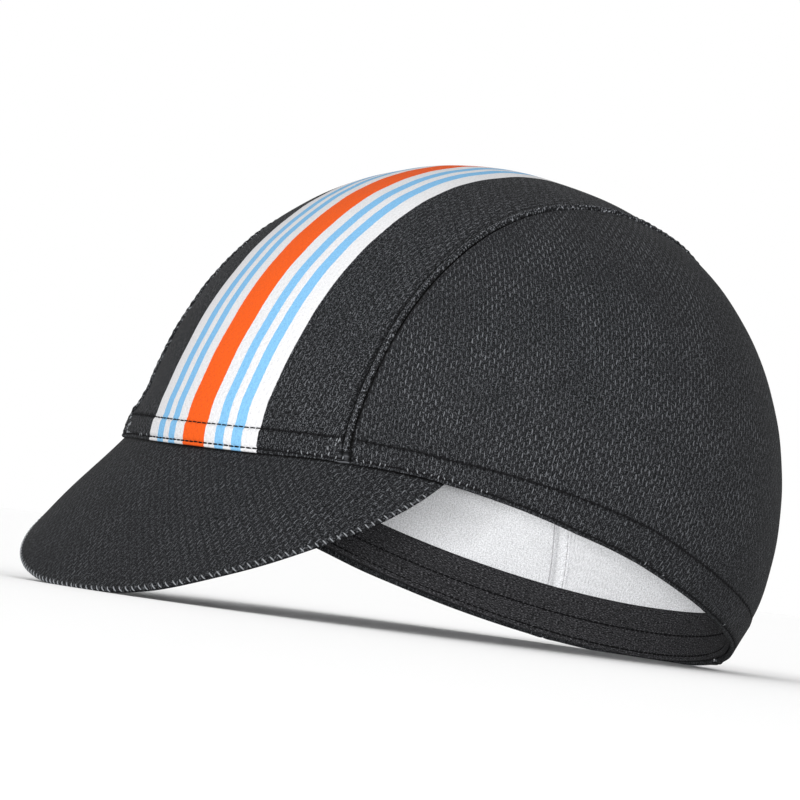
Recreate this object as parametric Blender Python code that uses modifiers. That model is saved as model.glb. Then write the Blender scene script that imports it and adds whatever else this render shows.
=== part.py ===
"""Soft cycling cap: a crown of three cloth panels, a stiffened peak and an inner stretch band.

The cap is worked out level, as it sits on a head, and is then tipped back until it
rests on a flat surface by the front of its peak and the back of its rim.
The front of the cap looks along -Y, the wearer's left is +X, and +Z is up.
"""
import math
from collections import namedtuple

import bpy
import bmesh
import numpy as np
from mathutils import Matrix, Vector

# Crown, outside
CAP_LENGTH = 0.194
CAP_WIDTH = 0.187
CROWN_HEIGHT = 0.125
FULLEST_SETBACK = 0.004
FRONT_SQUARENESS = 1.94
BACK_SQUARENESS = 2.07

# Cloth, seams and hem
CLOTH = 0.0012
GAP = 0.0004
SEAM_FRONT = 0.0485
SEAM_TOP = 0.0465
SEAM_BACK = 0.0390
HEM_HEIGHT = 0.0100
HEM_STEP = 0.0015
HEM_PROUD = 0.0006

# The hem stands out over the two front corners, where the seams cross it
CORNER_FLARE = 0.0060
CORNER_ANGLE = math.radians(42)
CORNER_SPREAD = math.radians(22)
CORNER_HEIGHT = 0.0160
CORNER_FADE = 1.2

# Inner stretch band
BAND_THICKNESS = 0.0012
BAND_HEIGHT = 0.0160
BAND_RAISE = 0.0018

# Peak
PEAK_WIDTH = 0.132
PEAK_LENGTH = 0.0550
PEAK_THICKNESS = 0.0022
PEAK_DROP_MIDDLE = math.radians(69)
PEAK_DROP_SIDE = math.radians(60)
PEAK_FAN = math.radians(-2.6)
PEAK_CURL = 0.0023
PEAK_SHOULDER = 3.4
PEAK_ROUNDNESS = 0.46

# How far the cloth is pressed flat where the cap rests
REST_PRESS = 0.0010

# How finely the sheets are divided
ROWS_ABOVE_HEM = 17
SIDE_COLUMNS = 14
CENTRE_COLUMNS = 14
BAND_COLUMNS = 36
PEAK_COLUMNS = 26
PEAK_ROWS = 7

# The three lines that shape the crown, from the rim up to its top.
# Reaches are shares of CAP_LENGTH, or of CAP_WIDTH for the side; heights are shares of
# CROWN_HEIGHT; roundness is the exponent of the curve above the fullest point.
Line = namedtuple("Line", "fullest_reach rim_reach rim_height fullest_height roundness")
FRONT = Line(0.508, 0.488, -0.012, 0.109, 2.18)
SIDE = Line(0.500, 0.463, 0.125, 0.312, 2.27)
BACK = Line(0.492, 0.497, 0.151, 0.233, 1.70)

# A point inside the crown, as a share of its height, that its outer face looks away from
INSIDE_SHARE = 0.3

# How many points a line of the crown is measured with, and the closest that two may lie
LINE_POINTS = 160
TINY = 1e-6

CLOTH_COLOUR = (0.028, 0.029, 0.031, 1.0)
BAND_COLOUR = (0.012, 0.012, 0.013, 1.0)


def crown_line(line, span):
    """Reach and height along one line of the crown, with the length from the rim."""
    fullest = line.fullest_reach * span
    rim = line.rim_reach * span
    rim_height = line.rim_height * CROWN_HEIGHT
    full_height = line.fullest_height * CROWN_HEIGHT
    rise = np.linspace(0.0, 1.0, LINE_POINTS)
    wall_reach = fullest - (fullest - rim) * (1.0 - rise) ** 2
    wall_height = rim_height + (full_height - rim_height) * rise
    turn = np.linspace(0.0, math.pi / 2, LINE_POINTS)[1:]
    dome_reach = fullest * np.abs(np.cos(turn)) ** (2 / line.roundness)
    dome_rise = np.sin(turn) ** (2 / line.roundness)
    dome_height = full_height + (CROWN_HEIGHT - full_height) * dome_rise
    reach = np.concatenate([wall_reach, dome_reach])
    height = np.concatenate([wall_height, dome_height])
    steps = np.hypot(np.diff(reach), np.diff(height))
    return reach, height, np.concatenate([[0.0], np.cumsum(steps)])


CROWN_LINES = {
    "front": crown_line(FRONT, CAP_LENGTH),
    "side": crown_line(SIDE, CAP_WIDTH),
    "back": crown_line(BACK, CAP_LENGTH),
}


def line_at(name, share):
    """Reach and height of one crown line, at a share of its length up from the rim."""
    reach, height, length = CROWN_LINES[name]
    along = np.asarray(share, float) * length[-1]
    return np.interp(along, length, reach), np.interp(along, length, height)


def share_of(length):
    """The share of the crown's side line that a length up from the rim takes."""
    return length / CROWN_LINES["side"][2][-1]


def corner_flare(share, angle):
    """How far the hem stands out at a plan angle from the front."""
    across = np.exp(-((angle - CORNER_ANGLE) / CORNER_SPREAD) ** 2)
    up = np.clip(1.0 - share / share_of(CORNER_HEIGHT), 0.0, 1.0) ** CORNER_FADE
    return CORNER_FLARE * across * up


def crown_point(share, lateral, front):
    """Points of the crown's outer face at a share up from the rim and a distance sideways."""
    share = np.asarray(share, float)
    side_reach, side_height = line_at("side", share)
    end_reach, end_height = line_at("front" if front else "back", share)
    squareness = FRONT_SQUARENESS if front else BACK_SQUARENESS
    middle = FULLEST_SETBACK * 2 * side_reach / CAP_WIDTH
    out = np.clip(np.abs(lateral) / np.maximum(side_reach, TINY), 0.0, 1.0)
    depth = (1.0 - out ** squareness) ** (1 / squareness)
    height = side_height + (end_height - side_height) * depth ** 2
    if not front:
        return np.stack([lateral, middle + (end_reach - middle) * depth, height], -1)
    angle = np.arcsin(out)
    flare = corner_flare(share, angle)
    x = lateral + np.sign(lateral) * flare * np.sin(angle)
    y = middle - (end_reach + middle) * depth - flare * np.cos(angle)
    return np.stack([x, y, height], -1)


def top_share(lateral):
    """The share of the side line at which the crown is just this wide."""
    reach, _, length = CROWN_LINES["side"]
    fullest = int(np.argmax(reach))
    return np.interp(-abs(lateral), -reach[fullest:], length[fullest:]) / length[-1]


def hem_shares():
    """Rows of the hem, and how far each stands proud: edge, stitch line, step."""
    top = share_of(HEM_HEIGHT)
    plain = share_of(HEM_HEIGHT + HEM_STEP)
    return [(0.0, HEM_PROUD), (top, HEM_PROUD), (plain, 0.0)]


def row_rises():
    """Rows above the hem, as rises from 0 at the hem to 1 at the top of the crown."""
    turn = np.linspace(0.0, math.pi / 2, ROWS_ABOVE_HEM + 1)[1:]
    return np.sin(turn)


def row_shares(lateral_at_top):
    """Share up the crown of each row, at a place that reaches the top at this lateral."""
    hem = [share for share, _ in hem_shares()]
    rest = hem[-1] + (top_share(lateral_at_top) - hem[-1]) * row_rises()
    return np.concatenate([hem, rest])


def row_proud():
    """How far each row stands proud of the crown's plain face."""
    return np.array([proud for _, proud in hem_shares()] + [0.0] * ROWS_ABOVE_HEM)


def seam_lateral(share, front):
    """Half width of the centre panel, which changes from the rim to the top."""
    rim = SEAM_FRONT if front else SEAM_BACK
    turn = np.clip(share / top_share(SEAM_TOP), 0.0, 1.0) * math.pi / 2
    return rim + (SEAM_TOP - rim) * np.sin(turn)


def grid_normals(points):
    """Outward unit normals of a grid of points of the crown."""
    along = np.gradient(points, axis=0)
    across = np.gradient(points, axis=1)
    normals = np.cross(across, along)
    normals /= np.maximum(np.linalg.norm(normals, axis=-1, keepdims=True), TINY ** 2)
    outward = points - np.array([0.0, 0.0, CROWN_HEIGHT * INSIDE_SHARE])
    facing = np.sign((normals * outward).sum(-1, keepdims=True))
    return normals * facing


def centre_panel_points():
    """Rows from the front rim over the top to the back rim, each from side to side."""
    shares = np.linspace(-1.0, 1.0, CENTRE_COLUMNS + 1)
    halves = []
    for front in (True, False):
        columns = []
        for share in shares:
            rows = row_shares(share * (SEAM_TOP - GAP / 2))
            lateral = share * (seam_lateral(rows, front) - GAP / 2)
            columns.append(crown_point(rows, lateral, front))
        half = np.stack(columns, axis=1)
        halves.append(half + grid_normals(half) * row_proud()[:, None, None])
    return np.concatenate([halves[0], halves[1][-2::-1]])


def side_panel_points(side):
    """Rows from the rim up to the crest of the seam, each from the front seam to the back."""
    shares = row_shares(SEAM_TOP + GAP / 2)
    columns = []
    for front in (True, False):
        squareness = FRONT_SQUARENESS if front else BACK_SQUARENESS
        reach = line_at("side", shares)[0]
        seam = np.minimum((seam_lateral(shares, front) + GAP / 2) / reach, 1.0)
        start = np.arcsin(seam ** (squareness / 2))
        for step in np.linspace(0.0, 1.0, SIDE_COLUMNS + 1):
            turn = start + (math.pi / 2 - start) * step
            lateral = side * reach * np.sin(turn) ** (2 / squareness)
            columns.append(crown_point(shares, lateral, front))
    front_half = columns[:SIDE_COLUMNS + 1]
    back_half = columns[SIDE_COLUMNS + 1:-1][::-1]
    points = np.stack(front_half + back_half, axis=1)
    return points + grid_normals(points) * row_proud()[:, None, None]


def band_points():
    """Rows up the inside of the hem, each all the way round."""
    rows = np.array([share_of(BAND_RAISE + BAND_HEIGHT * rise) for rise in (0.0, 0.5, 1.0)])
    turn = np.linspace(-math.pi / 2, math.pi / 2, BAND_COLUMNS + 1)
    reach = line_at("side", rows)[0]
    halves = []
    for front, turns in ((True, turn), (False, turn[::-1])):
        squareness = FRONT_SQUARENESS if front else BACK_SQUARENESS
        out = np.sign(turns) * np.abs(np.sin(turns)) ** (2 / squareness)
        columns = [crown_point(rows, reach * place, front) for place in out]
        halves.append(np.stack(columns, axis=1))
    ring = np.concatenate([halves[0][:, :-1], halves[1]], axis=1)
    wrapped = np.concatenate([ring[:, -2:-1], ring, ring[:, 1:2]], axis=1)
    normals = grid_normals(wrapped)[:, 1:-1]
    return ring - normals * (CLOTH + GAP)


def peak_points():
    """Rows from the joint under the rim to the front edge, each from side to side."""
    place = np.sin(np.linspace(-math.pi / 2, math.pi / 2, PEAK_COLUMNS + 1))
    joint = crown_point(np.zeros_like(place), place * PEAK_WIDTH / 2, True)
    drop = PEAK_DROP_MIDDLE + (PEAK_DROP_SIDE - PEAK_DROP_MIDDLE) * place ** 2
    direction = np.stack([math.tan(PEAK_FAN) * place, -np.cos(drop), -np.sin(drop)], -1)
    reach = PEAK_LENGTH * (1.0 - np.abs(place) ** PEAK_SHOULDER) ** PEAK_ROUNDNESS
    rows = []
    for share in np.linspace(0.0, 1.0, PEAK_ROWS + 1):
        along = GAP + reach * share
        row = joint + along[:, None] * direction
        row[:, 2] -= PEAK_CURL * (along / PEAK_LENGTH) ** 2
        rows.append(row)
    return np.stack(rows)


def resting_place(sheets):
    """The turn and shift that take the level cap to its resting place, over the origin."""
    peak = sheets["peak"]
    middle = peak.shape[1] // 2
    tip = peak[-1, middle]
    slope = peak[-1, middle] - peak[-2, middle]
    slope /= np.linalg.norm(slope)
    toe = tip + PEAK_THICKNESS * np.array([0.0, -slope[2], slope[1]])
    heel = sheets["centre_panel"][-1, CENTRE_COLUMNS // 2]
    pitch = math.atan2(heel[2] - toe[2], heel[1] - toe[1])
    turn = Matrix.Rotation(-pitch, 4, "X")
    turned = [np.asarray(turn.to_3x3()) @ points.reshape(-1, 3).T for points in sheets.values()]
    front = min(points[1].min() for points in turned)
    back = max(points[1].max() for points in turned)
    floor = (turn @ Vector(toe)).z + REST_PRESS
    return Matrix.Translation((0.0, -(front + back) / 2, -floor)) @ turn


def cloth_material(name, colour, roughness):
    """A plain cloth finish."""
    material = bpy.data.materials.new(name)
    material.use_nodes = True
    shader = material.node_tree.nodes["Principled BSDF"]
    shader.inputs["Base Color"].default_value = colour
    shader.inputs["Roughness"].default_value = roughness
    shader.inputs["Metallic"].default_value = 0.0
    return material


def resting_frame(place, collection):
    """An empty that carries the level cap's pieces to where they rest."""
    frame = bpy.data.objects.new("resting_frame", None)
    frame.matrix_world = place
    collection.objects.link(frame)
    return frame


def sheet_object(name, points, thickness, inner_point, material, collection):
    """One cloth piece: a sheet lofted through rows of points, thickened towards the inside."""
    rows, columns = points.shape[:2]
    faces = []
    for row in range(rows - 1):
        for column in range(columns - 1):
            first = row * columns + column
            faces.append((first, first + 1, first + columns + 1, first + columns))
    mesh = bpy.data.meshes.new(name)
    mesh.from_pydata([tuple(point) for point in points.reshape(-1, 3)], [], faces)
    build = bmesh.new()
    build.from_mesh(mesh)
    bmesh.ops.remove_doubles(build, verts=build.verts, dist=TINY)
    build.normal_update()
    inner = Vector(inner_point)
    outwards = sum(face.normal.dot(face.calc_center_median() - inner) for face in build.faces)
    if outwards < 0:
        bmesh.ops.reverse_faces(build, faces=build.faces)
    build.to_mesh(mesh)
    build.free()
    mesh.shade_smooth()
    mesh.materials.append(material)
    piece = bpy.data.objects.new(name, mesh)
    collection.objects.link(piece)
    thicken = piece.modifiers.new("cloth thickness", "SOLIDIFY")
    thicken.thickness = thickness
    thicken.offset = -1.0
    thicken.use_even_offset = True
    thicken.use_quality_normals = True
    return piece


def floor_cutter(collection):
    """The flat surface that the cap rests on, as a block just below z = 0."""
    size = 2 * CAP_LENGTH
    bpy.ops.mesh.primitive_cube_add(size=size, location=(0.0, 0.0, -size / 2))
    cutter = bpy.context.object
    cutter.name = "resting_surface"
    for owner in list(cutter.users_collection):
        owner.objects.unlink(cutter)
    collection.objects.link(cutter)
    cutter.hide_render = True
    cutter.display_type = "WIRE"
    return cutter


def press_flat(piece, cutter):
    """Flattens a piece where it rests."""
    press = piece.modifiers.new("pressed flat", "BOOLEAN")
    press.operation = "DIFFERENCE"
    press.object = cutter


def build_cap():
    """Builds every piece of the cap in its own collection."""
    for old in list(bpy.data.objects):
        bpy.data.objects.remove(old, do_unlink=True)
    cap = bpy.data.collections.new("cycling_cap")
    cutters = bpy.data.collections.new("cutters")
    bpy.context.scene.collection.children.link(cap)
    bpy.context.scene.collection.children.link(cutters)

    sheets = {
        "centre_panel": centre_panel_points(),
        "left_side_panel": side_panel_points(1),
        "right_side_panel": side_panel_points(-1),
        "sweatband": band_points(),
        "peak": peak_points(),
    }
    thickness = {"sweatband": BAND_THICKNESS, "peak": PEAK_THICKNESS}
    inside_crown = (0.0, 0.0, CROWN_HEIGHT * INSIDE_SHARE)
    under_peak = (0.0, 0.0, -PEAK_LENGTH)
    frame = resting_frame(resting_place(sheets), cap)
    pieces = {}
    for name, points in sheets.items():
        colour = BAND_COLOUR if name == "sweatband" else CLOTH_COLOUR
        material = cloth_material(name + "_cloth", colour, 0.85)
        inner_point = under_peak if name == "peak" else inside_crown
        depth = thickness.get(name, CLOTH)
        pieces[name] = sheet_object(name, points, depth, inner_point, material, cap)
        pieces[name].parent = frame
    cutter = floor_cutter(cutters)
    for name in ("centre_panel", "peak"):
        press_flat(pieces[name], cutter)


build_cap()
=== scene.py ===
"""The looks of a soft cycling cap: printed knit panels, seams, hem, stitches, band and peak.

Every piece is worked out on the level cap, as it sits on a head, and is then tipped
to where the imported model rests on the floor. The front looks along -Y, +X is the
wearer's left, and +Z is up. Lengths are in metres, and cloth coordinates in millimetres.
"""
import math
from collections import namedtuple

import bmesh
import bpy
import numpy as np
from bpy.props import FloatProperty, FloatVectorProperty, PointerProperty
from mathutils import Matrix, Vector
from mathutils.kdtree import KDTree


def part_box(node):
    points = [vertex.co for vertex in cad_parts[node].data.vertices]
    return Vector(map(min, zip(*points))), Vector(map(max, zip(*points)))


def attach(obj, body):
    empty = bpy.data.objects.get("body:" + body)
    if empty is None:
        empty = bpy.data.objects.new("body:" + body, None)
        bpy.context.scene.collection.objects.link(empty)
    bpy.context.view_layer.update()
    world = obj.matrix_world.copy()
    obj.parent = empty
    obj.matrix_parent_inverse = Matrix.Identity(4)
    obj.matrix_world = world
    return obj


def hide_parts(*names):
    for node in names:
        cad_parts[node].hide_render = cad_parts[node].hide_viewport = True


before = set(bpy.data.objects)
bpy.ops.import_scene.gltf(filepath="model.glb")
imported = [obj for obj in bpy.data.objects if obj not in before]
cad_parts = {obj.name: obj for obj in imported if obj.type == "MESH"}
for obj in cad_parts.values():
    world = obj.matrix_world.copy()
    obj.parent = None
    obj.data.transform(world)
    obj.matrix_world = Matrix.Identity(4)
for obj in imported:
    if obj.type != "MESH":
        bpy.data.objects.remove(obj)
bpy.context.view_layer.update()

bl_info = {
    "name": "Cycling cap",
    "version": (1, 0, 0),
    "blender": (4, 5, 0),
    "location": "View3D > Sidebar > Cap",
    "description": "Builds a soft cycling cap with printed stripes around its packed frame",
    "category": "Add Mesh",
}

# Crown, outside, as in the solids
CAP_LENGTH = 0.194
CAP_WIDTH = 0.187
CROWN_HEIGHT = 0.125
FULLEST_SETBACK = 0.004
FRONT_SQUARENESS = 1.94
BACK_SQUARENESS = 2.07
SEAM_FRONT = 0.0485
SEAM_TOP = 0.0465
SEAM_BACK = 0.0390
INSIDE_SHARE = 0.3

# The hem stands out over the two front corners
CORNER_FLARE = 0.0060
CORNER_ANGLE = math.radians(42)
CORNER_SPREAD = math.radians(22)
CORNER_HEIGHT = 0.0160
CORNER_FADE = 1.2

# Inner stretch band
BAND_SETBACK = 0.0016
BAND_THICKNESS = 0.0012
BAND_HEIGHT = 0.0160
BAND_RAISE = 0.0018

# Peak
PEAK_WIDTH = 0.132
PEAK_LENGTH = 0.0550
PEAK_THICKNESS = 0.0022
PEAK_DROP_MIDDLE = math.radians(69)
PEAK_DROP_SIDE = math.radians(60)
PEAK_FAN = math.radians(-2.6)
PEAK_CURL = 0.0023
PEAK_SHOULDER = 3.4
PEAK_ROUNDNESS = 0.46
PEAK_GAP = 0.0004
REST_PRESS = 0.0010

# The three lines that shape the crown, as shares of its length, width and height
Line = namedtuple("Line", "fullest_reach rim_reach rim_height fullest_height roundness")
FRONT = Line(0.508, 0.488, -0.012, 0.109, 2.18)
SIDE = Line(0.500, 0.463, 0.125, 0.312, 2.27)
BACK = Line(0.492, 0.497, 0.151, 0.233, 1.70)
LINE_POINTS = 400

# Where up the crown the finely meshed hem zone ends
HEM_ZONE = 0.0150
SCALE_STEP = 0.02

# How far the soft rim hangs below the solids' rim: angle from the front in degrees, metres
RIM_HANG_ANGLES = (0.0, 15.0, 30.0, 45.0, 60.0, 75.0, 92.0, 110.0)
RIM_HANG = (0.0005, 0.0008, 0.0010, 0.0006, 0.0010, 0.0014, 0.0004, 0.0)
RIM_HANG_FADE = 0.0080

TINY = 1e-6
TURN = 2 * math.pi
TWILL = math.radians(35)
MILLIMETRES = 1000.0

# Hem, in metres up the cloth from the rim
HEM_PROUD = 0.0006
HEM_FOLD = 0.0015
HEM_TURNED_UP = 0.0130
STITCH_DIP = 0.00062
SEAM_DIP = 0.0010
SEAM_DIP_WIDTH = 0.00045

# Extra layers of cloth at a seam in the hem, and the trough beside it: height, place, width
SEAM_BULK = (0.0007, 0.0012, 0.0028)
SEAM_TROUGH = (0.0003, 0.0024, 0.0005)

# How near two points are welded, and how short an edge is dropped
WELD_WITHIN = 2e-6
DROP_WITHIN = 1e-6

# Mesh spacing, in metres
FINE_STEP = 0.00055
COARSE_STEP = 0.0020
SEAM_STEP = 0.0004
SEAM_MARGIN = 0.0024
CROWN_ROWS = 150
DENSE = 801

CLOTH_MAP = "cloth_mm"
# Mesh attribute of painted shade in the grooves along the stitch lines and the seams
GROOVE_SHADE = "painted_groove_shade"
TURNED_IN = "turned_in"
CLOTH_COLUMNS = 81
PEAK_RADIUS = PEAK_THICKNESS / 2
EDGE_THREAD_PITCH = 0.0022
EDGE_POINTS = 3001

# Slow waves of the cloth, in metres
WAVES = 6
WAVE_SIZE = 0.00022
WAVE_LENGTH = 0.070
WAVE_SEED = 5
FINE_WAVE_SIZE = 0.00007
FINE_WAVE_LENGTH = 0.016
FINE_WAVE_SEED = 6
BAND_WAVE = (0.00012, 0.030, 9)
PEAK_WAVE = (0.00012, 0.035, 12)
HEM_RISES = math.radians(50)

THREAD_SIDES = 6
THREAD_FLATNESS = 0.75
HEM_STITCH_SEED = 11
LOOP_SEED = 17
BAND_STITCH_SEED = 23
EDGE_THREAD_SEED = 29
SEAM_ROLL_SEED = 31

# Where each stripe starts, as a share of the half width, with its colour
STRIPES = (
    (0.0, "orange"), (0.20, "white"), (0.375, "blue"),
    (0.51, "white"), (0.63, "blue"), (0.78, "white"),
)
STRIPE_ROOM = 1.25

# The side panels' cloth: its middle, how round it is, and how far its grain leans forward
SIDE_MIDDLE = (0.0930, 0.0050, 0.0480)
SIDE_ROUNDNESS = 0.095
GRAIN_LEAN = math.radians(13)

SEAM_ALLOWANCE = 0.0030
BAND_ROWS = 109
BAND_HANG = 0.0011
BAND_STATIONS = 151
BAND_STITCH_STATIONS = 2401
BAND_FLECK = (0.16, 0.16, 0.17)
BAND_GROOVES = (0.36, 0.64)
BAND_LINES = (0.08, 0.47)

# The photo's view, in metres and degrees
CAMERA_AZIMUTH = 49.42
CAMERA_ELEVATION = -1.62
CAMERA_ROLL = 7.8
CAMERA_DISTANCE = 1.552
CAMERA_LENS = 235.23
CAMERA_TARGET = (-0.01371, 0.00775, 0.06680)

FLOOR_RADIUS = 8.0
KEY_POWER = 0.55
KEY_FROM = (10.0, 40.0)

# A low soft box behind the camera, which lights the inside of the crown
SOFT_BOX = (0.45, 0.020)
SOFT_BOX_POWER = 42.0
SOFT_BOX_SIDE = 47.0
SOFT_BOX_DISTANCE = 1.75
SOFT_BOX_HEIGHT = 0.011


def crown_line(line, span):
    """Reach and height along one line of the crown, with the length from the rim."""
    fullest = line.fullest_reach * span
    rim = line.rim_reach * span
    rim_height = line.rim_height * CROWN_HEIGHT
    full_height = line.fullest_height * CROWN_HEIGHT
    rise = np.linspace(0.0, 1.0, LINE_POINTS)
    wall_reach = fullest - (fullest - rim) * (1.0 - rise) ** 2
    wall_height = rim_height + (full_height - rim_height) * rise
    turn = np.linspace(0.0, math.pi / 2, LINE_POINTS)[1:]
    dome_reach = fullest * np.abs(np.cos(turn)) ** (2 / line.roundness)
    dome_height = full_height + (CROWN_HEIGHT - full_height) * np.sin(turn) ** (2 / line.roundness)
    reach = np.concatenate([wall_reach, dome_reach])
    height = np.concatenate([wall_height, dome_height])
    steps = np.hypot(np.diff(reach), np.diff(height))
    return reach, height, np.concatenate([[0.0], np.cumsum(steps)])


CROWN_LINES = {
    "front": crown_line(FRONT, CAP_LENGTH),
    "side": crown_line(SIDE, CAP_WIDTH),
    "back": crown_line(BACK, CAP_LENGTH),
}


def line_at(name, share):
    """Reach and height of one crown line, at a share of its length up from the rim."""
    reach, height, length = CROWN_LINES[name]
    along = np.asarray(share, float) * length[-1]
    return np.interp(along, length, reach), np.interp(along, length, height)


def share_of(length):
    """The share of the crown's side line that a length up from the rim takes."""
    return length / CROWN_LINES["side"][2][-1]


def crown_point(share, lateral, front):
    """Points of the crown's outer face at a share up from the rim and a distance sideways."""
    share, lateral = np.broadcast_arrays(np.asarray(share, float), np.asarray(lateral, float))
    side_reach, side_height = line_at("side", share)
    end_reach, end_height = line_at("front" if front else "back", share)
    squareness = FRONT_SQUARENESS if front else BACK_SQUARENESS
    middle = FULLEST_SETBACK * 2 * side_reach / CAP_WIDTH
    out = np.clip(np.abs(lateral) / np.maximum(side_reach, TINY), 0.0, 1.0)
    depth = (1.0 - out ** squareness) ** (1 / squareness)
    height = side_height + (end_height - side_height) * depth ** 2
    if not front:
        return np.stack([lateral, middle + (end_reach - middle) * depth, height], -1)
    angle = np.arcsin(out)
    across = np.exp(-((angle - CORNER_ANGLE) / CORNER_SPREAD) ** 2)
    flare = CORNER_FLARE * across * np.clip(1.0 - share / share_of(CORNER_HEIGHT), 0.0, 1.0) ** CORNER_FADE
    x = lateral + np.sign(lateral) * flare * np.sin(angle)
    y = middle - (end_reach + middle) * depth - flare * np.cos(angle)
    return np.stack([x, y, height], -1)


def top_share(lateral):
    """The share of the side line at which the crown is just this wide."""
    reach, _, length = CROWN_LINES["side"]
    fullest = int(np.argmax(reach))
    return np.interp(-np.abs(lateral), -reach[fullest:], length[fullest:]) / length[-1]


def seam_lateral(share, front):
    """How far the seam lies from the cap's middle plane."""
    rim = SEAM_FRONT if front else SEAM_BACK
    turn = np.clip(share / top_share(SEAM_TOP), 0.0, 1.0) * math.pi / 2
    return rim + (SEAM_TOP - rim) * np.sin(turn)


def share_up(up, rim_scale, top):
    """Share up the crown. up is metres above the rim in the hem zone, then 1 more at the top."""
    hem_share = HEM_ZONE / rim_scale
    turn = np.clip(up - HEM_ZONE, 0.0, 1.0) * math.pi / 2
    above = hem_share + (top - hem_share) * np.sin(turn)
    return np.where(up <= HEM_ZONE, up / rim_scale, above)


def rim_scale_at(lateral, front):
    """Metres up the cloth for one whole share, near the rim."""
    rise = crown_point(SCALE_STEP, lateral, front) - crown_point(0.0, lateral, front)
    return np.linalg.norm(rise, axis=-1) / SCALE_STEP


def centre_place(across, up, front):
    """A point of the centre panel: across from -1 to 1 between its seams."""
    scale = rim_scale_at(across * seam_lateral(0.0, front), front)
    share = share_up(up, scale, top_share(across * SEAM_TOP))
    return crown_point(share, across * seam_lateral(share, front), front)


def side_half(step, up, side, front):
    """A point of one half of a side panel: step from 0 at its seam to 1 at the middle."""
    squareness = FRONT_SQUARENESS if front else BACK_SQUARENESS

    def lateral(share):
        reach = line_at("side", share)[0]
        seam = np.minimum(seam_lateral(share, front) / reach, 1.0)
        start = np.arcsin(seam ** (squareness / 2))
        turn = start + (math.pi / 2 - start) * step
        return side * reach * np.sin(turn) ** (2 / squareness)

    low, high = np.zeros_like(step), np.full_like(step, SCALE_STEP)
    rise = crown_point(high, lateral(high), front) - crown_point(low, lateral(low), front)
    scale = np.linalg.norm(rise, axis=-1) / SCALE_STEP
    share = share_up(up, scale, top_share(SEAM_TOP))
    return crown_point(share, lateral(share), front)


def side_place(along, up, side):
    """A point of a side panel: along from 0 at the front seam to 2 at the back seam."""
    along, up = np.broadcast_arrays(np.asarray(along, float), np.asarray(up, float))
    front = side_half(np.clip(along, 0.0, 1.0), up, side, True)
    back = side_half(np.clip(2.0 - along, 0.0, 1.0), up, side, False)
    return np.where((along <= 1.0)[..., None], front, back)


def unit(vectors):
    """Vectors made one long."""
    return vectors / np.maximum(np.linalg.norm(vectors, axis=-1, keepdims=True), TINY ** 2)


def face_away(normals, points):
    """Normals turned to look away from the inside of the crown."""
    outward = points - np.array([0.0, 0.0, CROWN_HEIGHT * INSIDE_SHARE])
    return normals * np.sign((normals * outward).sum(-1, keepdims=True))


def surface_normals(place, across, up, low, high):
    """Outward normals of a panel, from small steps either way."""
    step, rise = 2e-3, 2e-4
    one = place(np.clip(across + step, low, high), up) - place(np.clip(across - step, low, high), up)
    climb = np.where(up > HEM_ZONE, 10 * rise, rise)
    top = np.where(up > HEM_ZONE, HEM_ZONE + 1.0, HEM_ZONE)
    other = place(across, np.minimum(up + climb, top)) - place(across, np.maximum(up - climb, 0.0))
    return face_away(unit(np.cross(one, other)), place(across, up))


def resting_place():
    """The turn and shift that take the level cap to where it rests, as in the solids."""
    middle = np.zeros(1)
    edge = peak_surface(middle, np.ones(1))[0]
    before = peak_surface(middle, np.full(1, 6 / 7))[0]
    slope = unit(edge - before)
    toe = edge + PEAK_THICKNESS * np.array([0.0, -slope[2], slope[1]])
    heel = crown_point(0.0, 0.0, False)
    heel = heel + HEM_PROUD * np.array([0.0, 1.0, 0.0])
    pitch = math.atan2(heel[2] - toe[2], heel[1] - toe[1])
    turn = Matrix.Rotation(-pitch, 4, "X")
    floor = (turn @ Vector(toe)).z + REST_PRESS
    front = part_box("peak")[0].y - (turn @ Vector(edge)).y
    return Matrix.Translation((0.0, front, -floor)) @ turn


def peak_surface(place, share):
    """Points of the peak's upper face: place from -1 to 1 across, share from joint to edge."""
    joint = crown_point(np.zeros_like(place), place * PEAK_WIDTH / 2, True)
    drop = PEAK_DROP_MIDDLE + (PEAK_DROP_SIDE - PEAK_DROP_MIDDLE) * place ** 2
    direction = np.stack([math.tan(PEAK_FAN) * place, -np.cos(drop), -np.sin(drop)], -1)
    reach = PEAK_LENGTH * (1.0 - np.abs(place) ** PEAK_SHOULDER) ** PEAK_ROUNDNESS
    along = PEAK_GAP + reach * share
    points = joint + along[..., None] * direction
    points[..., 2] -= PEAK_CURL * (along / PEAK_LENGTH) ** 2
    return points


RESTING = resting_place()


def length_property(name, description, default, low, high):
    """A length that a user may change."""
    return FloatProperty(
        name=name, description=description, default=default, min=low, max=high, unit="LENGTH")


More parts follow.
